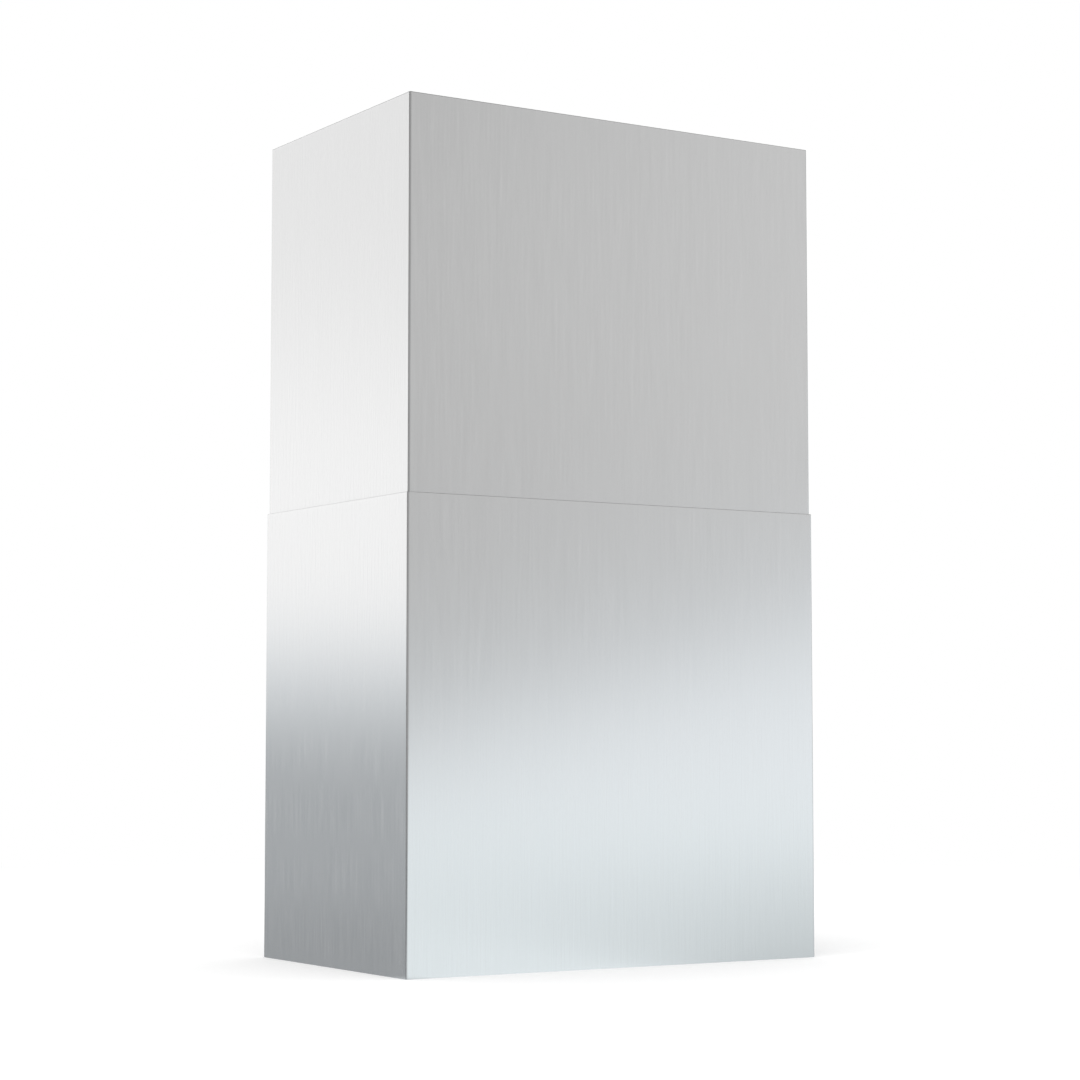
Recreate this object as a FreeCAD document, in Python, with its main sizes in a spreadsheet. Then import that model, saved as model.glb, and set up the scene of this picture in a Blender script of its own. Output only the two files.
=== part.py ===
import FreeCAD, Part
import Sketcher
import math
import os

# Two-stage chimney cover of a wall cooker hood.
# Two folded sheets, each a C in plan and open at the wall, telescope into each other.
# Frame: origin at the middle of the foot, +X right, -Y to the room, +Y to the wall, +Z up.

doc = FreeCAD.newDocument("chimney")

SIZES = [
    ("sleeve_width", 400, "Outside width of the lower sleeve"),
    ("sleeve_depth", 250, "Outside depth of the lower sleeve, front face to wall"),
    ("lower_height", 380, "Height of the lower sleeve"),
    ("upper_height", 400, "Height of the upper sleeve"),
    ("overlap", 80, "Length of the upper sleeve held inside the lower one"),
    ("sheet", 0.8, "Thickness of the stainless sheet"),
    ("bend_inside", 0.8, "Inside radius of the folds in the sleeves"),
    ("return_width", 20, "Width of the return flanges at the open back"),
    ("return_chamfer", 5, "Corner cut at the ends of the return flanges"),
    ("glide_thickness", 0.3, "Thickness of the felt glides"),
    ("slide_clear", 0.2, "Free play between a glide and the upper sleeve"),
    ("glide_length", 60, "Length of the front and side glides"),
    ("glide_height", 12, "Height of the front and side glides"),
    ("glide_drop", 3, "Top of the glides below the edge of the lower sleeve"),
    ("glide_inset", 40, "End of a front glide from the outside of the sleeve"),
    ("rear_glide_width", 10, "Width of the glides on the return flanges"),
    ("rear_glide_height", 40, "Height of the glides on the return flanges"),
    ("angle_sheet", 1.2, "Thickness of the foot angles"),
    ("angle_bend", 1.0, "Inside radius of the foot angles"),
    ("angle_leg", 14, "Upright leg of the foot angles"),
    ("angle_shelf", 18, "Level leg of the foot angles"),
    ("foot_length", 120, "Length of the side foot angles"),
    ("foot_forward", 20, "Middle of the side foot angles in front of the sleeve's middle"),
    ("foot_hole", 4.5, "Diameter of the holes for the hood screws"),
    ("foot_hole_pitch", 80, "Distance between the two holes of one foot angle"),
    ("foot_hole_edge", 9.2, "Hole centre from the inside of the side wall"),
    ("rear_end_gap", 2, "Room at each end of the rear angle and the tie strap"),
    ("strap_sheet", 1.0, "Thickness of the tie strap"),
    ("strap_height", 25, "Height of the tie strap"),
    ("strap_rise", 4, "Tie strap above the lower edge of the upper sleeve"),
    ("bracket_sheet", 1.0, "Thickness of the wall bracket"),
    ("bracket_bend", 1.0, "Inside radius of the fold of the wall bracket"),
    ("bracket_height", 30, "Height of the wall bracket"),
    ("bracket_drop", 2, "Top of the wall bracket below the top of the upper sleeve"),
    ("bracket_inset", 4, "End of the wall bracket from the side of the upper sleeve"),
    ("bracket_gap", 0.3, "Room between the wall bracket and the return flanges"),
    ("lip_depth", 10, "Depth of the stiffening lip on the wall bracket"),
    ("lip_end_gap", 4, "End of the lip from the edge of a return flange"),
    ("lip_relief", 1, "Relief cut below the fold at the ends of the lip"),
    ("hook_width", 7, "Width of the hooks"),
    ("hook_rise", 9, "Height of a hook from the underside of its tongue"),
    ("hook_drop", 19, "Top face of the tongues below the top of the wall bracket"),
    ("hook_clear", 0.6, "Room between a hook's tab and the return flange"),
    ("hook_bend", 0.4, "Inside radius of the hooks"),
    ("lance_clear", 0.5, "Room beside a hook in the opening that it is lanced from"),
    ("lance_height", 12, "Height of the opening above a tongue"),
    ("window_clear", 1, "Room beside a hook in its window"),
    ("window_drop", 4, "Room in a window beyond the height of its hook"),
    ("wall_slot_width", 5.5, "Width of the slots for the wall screws"),
    ("wall_slot_length", 16, "Length of the slots for the wall screws"),
    ("wall_slot_span", 200, "Distance between the slots for the wall screws"),
    ("wall_slot_drop", 15, "Slot centre below the top of the wall bracket"),
    ("notch_width", 6, "Width of the centring notch in the wall bracket"),
    ("notch_depth", 3, "Depth of the centring notch in the wall bracket"),
]

sizes = doc.addObject("Spreadsheet::Sheet", "sizes")
for row, (alias, value, meaning) in enumerate(SIZES, start=1):
    sizes.set(f"A{row}", meaning)
    sizes.set(f"B{row}", str(value))
    sizes.setAlias(f"B{row}", alias)
doc.recompute()

# Sizes that follow from the driving ones
BEND_OUTSIDE = "(sizes.sheet + sizes.bend_inside)"
SLIDE_GAP = "(sizes.glide_thickness + sizes.slide_clear)"
UPPER_INSET = f"(sizes.sheet + {SLIDE_GAP})"
UPPER_WIDTH = f"(sizes.sleeve_width - 2 * {UPPER_INSET})"
UPPER_DEPTH = f"(sizes.sleeve_depth - 2 * {UPPER_INSET})"
UPPER_BASE = "(sizes.lower_height - sizes.overlap)"
UPPER_TOP = f"({UPPER_BASE} + sizes.upper_height)"
SIDE_WALL_INSIDE = "(sizes.sleeve_width / 2 - sizes.sheet)"
RETURN_INSIDE = "(sizes.sleeve_depth / 2 - sizes.sheet)"
UPPER_RETURN_INSIDE = f"({UPPER_DEPTH} / 2 - sizes.sheet)"
HOOK_OFFSET = f"({UPPER_WIDTH} / 2 - sizes.return_width / 2)"
BRACKET_WALL = f"({UPPER_DEPTH} / 2 + sizes.bracket_gap + sizes.bracket_sheet)"
BRACKET_TOP = f"({UPPER_TOP} - sizes.bracket_drop)"
HOOK_REACH = "(sizes.bracket_gap + sizes.sheet + sizes.hook_clear + sizes.bracket_sheet)"
LIP_HALF = f"({UPPER_WIDTH} / 2 - sizes.return_width - sizes.lip_end_gap)"

BOTH_SIDES = (("left", -1), ("right", 1))


def amount(expression):
    """Present value of a sheet expression, in millimetres."""
    return float(sizes.evalExpression(expression))


def place(item, **expressions):
    """Tie the item's position to the sheet, one expression for each axis named."""
    for axis, expression in expressions.items():
        item.setExpression(f"Placement.Base.{axis}", expression)


def new_body(label):
    body = doc.addObject("PartDesign::Body", label)
    body.Label = label
    return body


def new_sketch(body, name, plane, **offsets):
    """Sketch on one of the body's own planes, moved by expressions in the sketch's axes."""
    sketch = body.newObject("Sketcher::SketchObject", name)
    support = next(item for item in body.Origin.OriginFeatures if item.Role == plane)
    sketch.AttachmentSupport = (support, [""])
    sketch.MapMode = "FlatFace"
    for axis, expression in offsets.items():
        sketch.setExpression(f"AttachmentOffset.Base.{axis}", expression)
    return sketch


def pad(body, name, sketch, expression, middle=False):
    feature = body.newObject("PartDesign::Pad", name)
    feature.Profile = sketch
    feature.setExpression("Length", expression)
    if middle:
        feature.SideType = "Symmetric"
    doc.recompute()
    return feature


def pocket(body, name, sketch, middle=True):
    """Cut through all, both ways from the sketch or only against its normal."""
    before = body.Shape.Volume
    feature = body.newObject("PartDesign::Pocket", name)
    feature.Profile = sketch
    feature.Type = "ThroughAll"
    if middle:
        feature.SideType = "Symmetric"
    doc.recompute()
    if not body.Shape.Volume < before:
        raise RuntimeError(f"{body.Label}: {name} cuts nothing")
    return feature


def bind(sketch, name, expression, *constraint):
    """Add a driving dimension to the sketch and tie it to the sheet."""
    kind, *elements = constraint
    index = sketch.addConstraint(Sketcher.Constraint(kind, *elements, amount(expression)))
    sketch.renameConstraint(index, name)
    sketch.setExpression(f"Constraints.{name}", expression)


def line(sketch, start, end):
    """Straight sketch line, held level or upright if it is drawn so."""
    points = [FreeCAD.Vector(x, y, 0) for x, y in (start, end)]
    index = sketch.addGeometry(Part.LineSegment(*points))
    if math.isclose(start[1], end[1]):
        sketch.addConstraint(Sketcher.Constraint("Horizontal", index))
    elif math.isclose(start[0], end[0]):
        sketch.addConstraint(Sketcher.Constraint("Vertical", index))
    return index


def arc(sketch, centre, radius, start, sweep=90):
    """Sketch arc drawn counterclockwise from a start angle in degrees."""
    circle = Part.Circle(FreeCAD.Vector(*centre, 0), FreeCAD.Vector(0, 0, 1), radius)
    turned = Part.ArcOfCircle(circle, math.radians(start), math.radians(start + sweep))
    return sketch.addGeometry(turned)


def close_up(sketch, kind, joints):
    """Join sketch elements end to end: Coincident for corners, Tangent for smooth runs."""
    for first, first_end, second, second_end in joints:
        sketch.addConstraint(Sketcher.Constraint(kind, first, first_end, second, second_end))


def polygon(sketch, corners):
    """Closed outline through the corners; gives the index of each side."""
    following = corners[1:] + corners[:1]
    sides = [line(sketch, start, end) for start, end in zip(corners, following)]
    close_up(sketch, "Coincident", [(a, 2, b, 1) for a, b in zip(sides, sides[1:] + sides[:1])])
    return sides


def rectangle(sketch, tag, left, bottom, width, height):
    """Rectangle from the signed place of its lower left corner, its width and its height."""
    x, y, across, up = (amount(item) for item in (left, bottom, width, height))
    corners = [(x, y), (x + across, y), (x + across, y + up), (x, y + up)]
    base, side, _, _ = polygon(sketch, corners)
    bind(sketch, f"{tag}_left", left, "DistanceX", -1, 1, base, 1)
    bind(sketch, f"{tag}_bottom", bottom, "DistanceY", -1, 1, base, 1)
    bind(sketch, f"{tag}_width", width, "DistanceX", base, 1, base, 2)
    bind(sketch, f"{tag}_height", height, "DistanceY", side, 1, side, 2)


def rounded_rectangle(sketch, width, depth, radius):
    """Rectangle centred on the sketch's origin, with four equal corner arcs."""
    corner = amount(radius)
    x = amount(width) / 2 - corner
    y = amount(depth) / 2 - corner
    centres = [(x, y), (-x, y), (-x, -y), (x, -y)]
    corners = [arc(sketch, centre, corner, 90 * turn) for turn, centre in enumerate(centres)]
    back = line(sketch, (x, y + corner), (-x, y + corner))
    left = line(sketch, (-x - corner, y), (-x - corner, -y))
    front = line(sketch, (-x, -y - corner), (x, -y - corner))
    right = line(sketch, (x + corner, -y), (x + corner, y))
    sides = [back, left, front, right]
    close_up(sketch, "Tangent", [(a, 2, s, 1) for a, s in zip(corners, sides)])
    close_up(sketch, "Tangent", [(s, 2, a, 1) for s, a in zip(sides, corners[1:] + corners[:1])])
    for other in corners[1:]:
        sketch.addConstraint(Sketcher.Constraint("Equal", corners[0], other))
    sketch.addConstraint(Sketcher.Constraint("Symmetric", corners[0], 3, corners[2], 3, -1, 1))
    bind(sketch, "width", width, "DistanceX", left, 1, right, 1)
    bind(sketch, "depth", depth, "DistanceY", front, 1, back, 1)
    bind(sketch, "radius", radius, "Radius", corners[0])


def fold_profile(sketch, leg, shelf, thickness, inside, way=1):
    """Section of a folded angle: outer corner on the origin, leg up and shelf across, or both reversed."""
    up, across, wall = (amount(item) * way for item in (leg, shelf, thickness))
    outer = amount(f"{thickness} + {inside}")
    turn = outer * way
    start = 180 if way > 0 else 0
    leg_outer = line(sketch, (0, turn), (0, up))
    leg_end = line(sketch, (0, up), (wall, up))
    leg_inner = line(sketch, (wall, up), (wall, turn))
    inner_arc = arc(sketch, (turn, turn), amount(inside), start)
    shelf_inner = line(sketch, (turn, wall), (across, wall))
    shelf_end = line(sketch, (across, wall), (across, 0))
    shelf_outer = line(sketch, (across, 0), (turn, 0))
    outer_arc = arc(sketch, (turn, turn), outer, start)
    leg_sides = [(leg_outer, leg_end), (leg_end, leg_inner)]
    shelf_sides = [(shelf_inner, shelf_end), (shelf_end, shelf_outer)]
    close_up(sketch, "Coincident", [(a, 2, b, 1) for a, b in leg_sides + shelf_sides])
    close_up(sketch, "Tangent", [(leg_inner, 2, inner_arc, 1), (inner_arc, 2, shelf_inner, 1)])
    close_up(sketch, "Tangent", [(leg_outer, 1, outer_arc, 1), (outer_arc, 2, shelf_outer, 2)])
    sketch.addConstraint(Sketcher.Constraint("PointOnObject", leg_outer, 1, -2))
    sketch.addConstraint(Sketcher.Constraint("PointOnObject", shelf_outer, 1, -1))
    bind(sketch, "leg", f"{way} * {leg}", "DistanceY", -1, 1, leg_end, 1)
    bind(sketch, "shelf", f"{way} * {shelf}", "DistanceX", -1, 1, shelf_end, 1)
    bind(sketch, "leg_wall", f"{way} * {thickness}", "DistanceX", leg_end, 1, leg_end, 2)
    bind(sketch, "shelf_wall", f"{way} * {thickness}", "DistanceY", shelf_end, 2, shelf_end, 1)
    bind(sketch, "inside", inside, "Radius", inner_arc)


def folded_sleeve(label, width, depth, height):
    """One sheet folded to a C: front, two sides and two return flanges at the open back."""
    body = new_body(label)
    outline = new_sketch(body, f"{label}_outline", "XY_Plane")
    rounded_rectangle(outline, width, depth, BEND_OUTSIDE)
    pad(body, f"{label}_block", outline, height)
    inside = new_sketch(body, f"{label}_inside", "XY_Plane")
    clear_width = f"({width} - 2 * sizes.sheet)"
    clear_depth = f"({depth} - 2 * sizes.sheet)"
    rounded_rectangle(inside, clear_width, clear_depth, "sizes.bend_inside")
    pocket(body, f"{label}_hollow", inside)
    mouth = new_sketch(body, f"{label}_mouth", "XY_Plane")
    mouth_width = f"({width} - 2 * sizes.return_width)"
    rectangle(mouth, "mouth", f"-{mouth_width} / 2", "0", mouth_width, depth)
    back = pocket(body, f"{label}_back", mouth)
    clip_returns(body, back, mouth_width)
    return body


def clip_returns(body, base, mouth_width):
    """Chamfer the free corners of the return flanges, so that nothing catches as the sleeves slide."""
    edge_x = amount(mouth_width) / 2
    names = []
    for number, edge in enumerate(base.Shape.Edges, start=1):
        ends = [vertex.Point for vertex in edge.Vertexes]
        on_edge = all(math.isclose(abs(end.x), edge_x, abs_tol=1e-6) for end in ends)
        if on_edge and math.isclose(edge.Length, amount("sizes.sheet"), abs_tol=1e-6):
            names.append(f"Edge{number}")
    feature = body.newObject("PartDesign::Chamfer", f"{body.Label}_corners")
    feature.Base = (base, names)
    feature.setExpression("Size", "sizes.return_chamfer")
    doc.recompute()


def lower_sleeve():
    return folded_sleeve("lower_sleeve", "sizes.sleeve_width", "sizes.sleeve_depth", "sizes.lower_height")


def upper_sleeve():
    """The inner sleeve, with a window in each return flange for a hook of the wall bracket."""
    body = folded_sleeve("upper_sleeve", UPPER_WIDTH, UPPER_DEPTH, "sizes.upper_height")
    windows = new_sketch(body, "hook_windows", "XZ_Plane")
    width = "(sizes.hook_width + 2 * sizes.window_clear)"
    height = "(sizes.hook_rise + sizes.window_drop)"
    top = "(sizes.upper_height - sizes.bracket_drop - sizes.hook_drop)"
    for side, sign in BOTH_SIDES:
        left = f"({sign} * {HOOK_OFFSET} - {width} / 2)"
        rectangle(windows, side, left, f"({top} - {height})", width, height)
    pocket(body, "hook_openings", windows, middle=False)
    place(body, z=UPPER_BASE)
    return body


def folded_angle(label, length, turn, **base):
    """Length of angle stock: upright leg on the wall of the sleeve, level leg at the foot."""
    body = new_body(label)
    section = new_sketch(body, f"{label}_section", "XZ_Plane")
    fold_profile(section, "sizes.angle_leg", "sizes.angle_shelf", "sizes.angle_sheet", "sizes.angle_bend")
    pad(body, f"{label}_stock", section, length, middle=True)
    body.Placement.Rotation = FreeCAD.Rotation(FreeCAD.Vector(0, 0, 1), turn)
    place(body, **base)
    return body


def foot_angle(side, sign):
    """Side angle with the two holes that take the screws from the hood below."""
    turn = 0 if sign < 0 else 180
    across = f"{sign} * {SIDE_WALL_INSIDE}"
    body = folded_angle(f"{side}_foot_angle", "sizes.foot_length", turn, x=across, y="-sizes.foot_forward")
    holes = new_sketch(body, f"{side}_foot_holes", "XY_Plane")
    for end, way in (("front", -1), ("rear", 1)):
        centre = FreeCAD.Vector(amount("sizes.foot_hole_edge"), way * amount("sizes.foot_hole_pitch") / 2, 0)
        circle = Part.Circle(centre, FreeCAD.Vector(0, 0, 1), amount("sizes.foot_hole") / 2)
        index = holes.addGeometry(circle)
        bind(holes, f"{end}_edge", "sizes.foot_hole_edge", "DistanceX", -1, 1, index, 3)
        bind(holes, f"{end}_pitch", f"{way} * sizes.foot_hole_pitch / 2", "DistanceY", -1, 1, index, 3)
        bind(holes, f"{end}_bore", "sizes.foot_hole", "Diameter", index)
    pocket(body, f"{side}_foot_bores", holes)
    return body


def lower_rear_angle():
    """Angle across the open back at the foot, welded to the inside of both return flanges."""
    length = "(sizes.sleeve_width - 2 * (sizes.sheet + sizes.bend_inside + sizes.rear_end_gap))"
    return folded_angle("lower_rear_angle", length, -90, y=RETURN_INSIDE)


def upper_tie_strap():
    """Flat strip across the open back of the upper sleeve, welded to the inside of its return flanges."""
    body = new_body("upper_tie_strap")
    face = new_sketch(body, "strap_face", "XZ_Plane")
    length = f"({UPPER_WIDTH} - 2 * (sizes.sheet + sizes.bend_inside + sizes.rear_end_gap))"
    rectangle(face, "strap", f"-{length} / 2", "0", length, "sizes.strap_height")
    pad(body, "strap_strip", face, "sizes.strap_sheet")
    place(body, y=UPPER_RETURN_INSIDE, z=f"{UPPER_BASE} + sizes.strap_rise")
    return body


def wall_bracket():
    """Strip on the wall with a stiffening lip, two lanced hooks, screw slots and a centring notch.

    Its own frame has the wall at zero depth and the top edge at zero height.
    """
    body = new_body("wall_bracket")
    section = new_sketch(body, "bracket_section", "YZ_Plane")
    fold = ("sizes.bracket_height", "sizes.lip_depth", "sizes.bracket_sheet", "sizes.bracket_bend")
    fold_profile(section, *fold, way=-1)
    half_length = f"({UPPER_WIDTH} / 2 - sizes.bracket_inset)"
    pad(body, "bracket_strip", section, f"2 * {half_length}", middle=True)
    trim_lip(body, half_length)
    wall_slots(body)
    centring_notch(body)
    lance_hooks(body)
    place(body, y=BRACKET_WALL, z=BRACKET_TOP)
    return body


def trim_lip(body, half_length):
    """Take the lip off the two ends of the strip, so that it passes between the return flanges."""
    ends = new_sketch(body, "lip_ends", "XZ_Plane")
    height = "(sizes.bracket_sheet + sizes.bracket_bend + sizes.lip_relief)"
    width = f"({half_length} - {LIP_HALF})"
    for side, sign in BOTH_SIDES:
        left = LIP_HALF if sign > 0 else f"-{half_length}"
        rectangle(ends, side, left, f"-{height}", width, height)
    pocket(body, "lip_trim", ends)


def wall_slots(body):
    """Two level slots for the wall screws, with round ends."""
    slots = new_sketch(body, "slot_outline", "XZ_Plane")
    radius = amount("sizes.wall_slot_width") / 2
    straight = "(sizes.wall_slot_length - sizes.wall_slot_width)"
    half = amount(straight) / 2
    level = -amount("sizes.wall_slot_drop")
    for side, sign in BOTH_SIDES:
        middle = sign * amount("sizes.wall_slot_span") / 2
        upper = line(slots, (middle + half, level + radius), (middle - half, level + radius))
        left_end = arc(slots, (middle - half, level), radius, 90, 180)
        lower = line(slots, (middle - half, level - radius), (middle + half, level - radius))
        right_end = arc(slots, (middle + half, level), radius, 270, 180)
        ring = [upper, left_end, lower, right_end]
        close_up(slots, "Tangent", [(a, 2, b, 1) for a, b in zip(ring, ring[1:] + ring[:1])])
        first = f"({sign} * sizes.wall_slot_span / 2 - {straight} / 2)"
        bind(slots, f"{side}_place", first, "DistanceX", -1, 1, left_end, 3)
        bind(slots, f"{side}_level", "-sizes.wall_slot_drop", "DistanceY", -1, 1, left_end, 3)
        bind(slots, f"{side}_length", straight, "DistanceX", left_end, 3, right_end, 3)
        bind(slots, f"{side}_radius", "sizes.wall_slot_width / 2", "Radius", left_end)
    pocket(body, "slot_cut", slots)


def centring_notch(body):
    """Small V in the lower edge, set on the plumb line when the bracket is marked out on the wall."""
    notch = new_sketch(body, "notch_outline", "XZ_Plane")
    half = amount("sizes.notch_width") / 2
    foot = -amount("sizes.bracket_height")
    tip = foot + amount("sizes.notch_depth")
    base, rising, falling = polygon(notch, [(-half, foot), (half, foot), (0, tip)])
    bind(notch, "notch_left", "-sizes.notch_width / 2", "DistanceX", -1, 1, base, 1)
    bind(notch, "notch_foot", "-sizes.bracket_height", "DistanceY", -1, 1, base, 1)
    bind(notch, "notch_width", "sizes.notch_width", "DistanceX", base, 1, base, 2)
    bind(notch, "notch_depth", "sizes.notch_depth", "DistanceY", base, 1, falling, 1)
    notch.addConstraint(Sketcher.Constraint("PointOnObject", falling, 1, -2))
    pocket(body, "notch_cut", notch)


def lance_hooks(body):
    """Hooks cut from the strip and folded to the room: a level tongue with an upturned tab."""
    openings = new_sketch(body, "lance_openings", "XZ_Plane")
    width = "(sizes.hook_width + 2 * sizes.lance_clear)"
    for side, sign in BOTH_SIDES:
        left = f"({sign} * {HOOK_OFFSET} - {width} / 2)"
        rectangle(openings, side, left, "-sizes.hook_drop", width, "sizes.lance_height")
    pocket(body, "lance_cut", openings)
    tab_face = f"-(sizes.bracket_sheet + {HOOK_REACH})"
    tongue_foot = "-(sizes.hook_drop + sizes.bracket_sheet)"
    for side, sign in BOTH_SIDES:
        offsets = {"x": tab_face, "y": tongue_foot, "z": f"{sign} * {HOOK_OFFSET}"}
        section = new_sketch(body, f"{side}_hook_section", "YZ_Plane", **offsets)
        fold_profile(section, "sizes.hook_rise", HOOK_REACH, "sizes.bracket_sheet", "sizes.hook_bend")
        pad(body, f"{side}_hook", section, "sizes.hook_width", middle=True)


def felt_glide(label, width, depth, height, x, y, top):
    """Thin strip stuck to the inside of the lower sleeve; x and y place its lower corner."""
    strip = doc.addObject("Part::Box", label)
    strip.Label = label
    strip.setExpression("Length", width)
    strip.setExpression("Width", depth)
    strip.setExpression("Height", height)
    place(strip, x=x, y=y, z=f"{top} - {height}")
    return strip


def felt_glides():
    """Two strips on the front wall, one on each side wall and one on each return flange."""
    top = "(sizes.lower_height - sizes.glide_drop)"
    rear_top = f"({top} - sizes.return_chamfer)"
    size = ("sizes.glide_length", "sizes.glide_thickness", "sizes.glide_height")
    side_size = ("sizes.glide_thickness", "sizes.glide_length", "sizes.glide_height")
    rear_size = ("sizes.rear_glide_width", "sizes.glide_thickness", "sizes.rear_glide_height")
    rear_middle = "(sizes.sleeve_width / 2 - sizes.return_width / 2)"
    strips = []
    for side, sign in BOTH_SIDES:
        inset = "(sizes.sleeve_width / 2 - sizes.glide_inset)"
        front_x = f"-{inset}" if sign < 0 else f"{inset} - sizes.glide_length"
        strips.append(felt_glide(f"front_{side}_glide", *size, front_x, f"-{RETURN_INSIDE}", top))
        side_x = f"-{SIDE_WALL_INSIDE}" if sign < 0 else f"{SIDE_WALL_INSIDE} - sizes.glide_thickness"
        strips.append(felt_glide(f"{side}_glide", *side_size, side_x, "-sizes.glide_length / 2", top))
        rear_x = f"{sign} * {rear_middle} - sizes.rear_glide_width / 2"
        rear_y = f"{RETURN_INSIDE} - sizes.glide_thickness"
        strips.append(felt_glide(f"rear_{side}_glide", *rear_size, rear_x, rear_y, rear_top))
    return strips


pieces = [lower_sleeve(), upper_sleeve(), lower_rear_angle(), upper_tie_strap(), wall_bracket()]
pieces += [foot_angle(side, sign) for side, sign in BOTH_SIDES]
pieces += felt_glides()
doc.recompute()

for item in doc.Objects:
    if "Invalid" in item.State or "Error" in item.State:
        raise RuntimeError(f"{item.Label} failed: {item.State}")
for piece in pieces:
    if piece.Shape.isNull() or not piece.Shape.isValid():
        raise RuntimeError(f"{piece.Label} has no valid shape")

os.makedirs("parts", exist_ok=True)
for piece in pieces:
    piece.Shape.exportStep(f"parts/{piece.Label}.step")
    box = piece.Shape.BoundBox
    extent = f"{box.XLength:.2f} x {box.YLength:.2f} x {box.ZLength:.2f} mm"
    print(f"{piece.Label}: {len(piece.Shape.Solids)} solid, {piece.Shape.Volume:.0f} mm3, {extent}")
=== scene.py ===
# %% [markdown]
# # A telescopic chimney cover in brushed stainless steel
#
# The object is the sheet metal cover that hides the duct above a wall cooker hood. Two sheets, each
# folded to a C, slide one inside the other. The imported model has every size, and its solids could be
# shown as they are. This lesson builds the visible sheets once more as numpy surfaces on those sizes,
# because a fine even grid takes weld dents, worn edges and smooth reflections.

# %% Load the frame
import math

import bmesh
import bpy
import numpy as np
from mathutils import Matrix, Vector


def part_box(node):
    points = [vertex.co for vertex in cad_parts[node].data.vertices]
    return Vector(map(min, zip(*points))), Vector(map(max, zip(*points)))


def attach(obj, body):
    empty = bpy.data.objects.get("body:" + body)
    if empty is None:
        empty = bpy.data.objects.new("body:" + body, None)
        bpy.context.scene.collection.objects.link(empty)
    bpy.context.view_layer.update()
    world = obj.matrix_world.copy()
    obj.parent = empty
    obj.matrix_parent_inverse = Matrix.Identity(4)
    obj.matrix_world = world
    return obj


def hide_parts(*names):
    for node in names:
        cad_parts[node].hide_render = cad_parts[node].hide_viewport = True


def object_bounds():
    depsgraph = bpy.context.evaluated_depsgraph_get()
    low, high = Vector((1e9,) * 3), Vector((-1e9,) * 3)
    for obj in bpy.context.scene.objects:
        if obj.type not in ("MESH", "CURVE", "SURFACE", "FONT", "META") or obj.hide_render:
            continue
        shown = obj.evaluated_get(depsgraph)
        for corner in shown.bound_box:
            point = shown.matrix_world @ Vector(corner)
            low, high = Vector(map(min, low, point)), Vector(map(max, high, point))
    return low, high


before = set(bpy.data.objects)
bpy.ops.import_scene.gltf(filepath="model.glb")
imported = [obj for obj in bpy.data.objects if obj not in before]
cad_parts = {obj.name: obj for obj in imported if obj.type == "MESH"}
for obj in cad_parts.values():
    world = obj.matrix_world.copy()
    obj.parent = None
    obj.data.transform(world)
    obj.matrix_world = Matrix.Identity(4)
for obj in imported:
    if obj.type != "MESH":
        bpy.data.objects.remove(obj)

CAD_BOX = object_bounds()
MM = 0.001
print("nodes:", sorted(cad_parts))

# %% [markdown]
# ## Shader arithmetic
#
# Every finish of the cover is a sum of patterns. It could be drawn as a web of nodes, but a formula is
# easier to read and to change. The class below wraps one socket, so that `1 - mask * 0.2` adds the Math
# nodes by itself, and its one method `node` makes any other kind of node. A colour never goes through a
# Math node, which would turn it grey: `blend` mixes two colours and `scale` makes one brighter.


# %% A socket that can be used in arithmetic
class Signal:
    """A shader socket for use in Python expressions; without a socket it only adds nodes to its tree."""

    def __init__(self, tree, socket=None):
        self.tree = tree
        self.socket = socket

    def node(self, kind, settings=None, inputs=None, output=0):
        """Add a node: its settings first, then a value or a link on each named input; gives one output."""
        made = self.tree.nodes.new(kind)
        for name, value in (settings or {}).items():
            setattr(made, name, value)
        for key, value in (inputs or {}).items():
            if isinstance(value, Signal):
                self.tree.links.new(value.socket, made.inputs[key])
            else:
                made.inputs[key].default_value = value
        return Signal(self.tree, made.outputs[output] if made.outputs else None)

    def math(self, operation, *values):
        """Math node on one, two or three values."""
        return self.node("ShaderNodeMath", {"operation": operation}, dict(enumerate(values)))

    def __add__(self, other):
        return self.math("ADD", self, other)

    def __sub__(self, other):
        return self.math("SUBTRACT", self, other)

    def __rsub__(self, other):
        return self.math("SUBTRACT", other, self)

    def __mul__(self, other):
        return self.math("MULTIPLY", self, other)

    __radd__ = __add__
    __rmul__ = __mul__

    def smooth(self, low, high):
        """0 below low, 1 above high and an S curve between them; swapped limits turn it round."""
        limits = {"Value": self, "From Min": low, "From Max": high}
        return self.node("ShaderNodeMapRange", {"interpolation_type": "SMOOTHSTEP"}, limits)

    def blend(self, first, second):
        """The first colour where this signal is 0 and the second where it is 1."""
        return self.node("ShaderNodeMix", {"data_type": "RGBA"}, {0: self, 6: first, 7: second}, output=2)

    def scale(self, colour):
        """The colour of another signal, made brighter or darker by this one."""
        return self.node("ShaderNodeVectorMath", {"operation": "SCALE"}, {0: colour, "Scale": self})


def grey(level, tint=(1.0, 1.0, 1.0)):
    """Linear colour of a grey level, multiplied by a tint."""
    return (*(level * part for part in tint), 1.0)


print("white is", grey(1.0))

# %% [markdown]
# ## The camera
#
# The cover is seen from a little left of its front, from below its middle, through a long lens, so that
# the upright edges stay almost parallel. A camera could be placed by eye; here the place, the turn and
# the lens were solved from the corners of the object, for a square image, which leaves no guessing.

# %% Place the camera
CAMERA_PLACE = (-1.1995, -1.9185, 0.186)
CAMERA_YAW = math.radians(32.03)
CAMERA_PITCH = math.radians(4.34)
CAMERA_LENS = 87.4
CAMERA_SENSOR = 36.0

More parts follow.
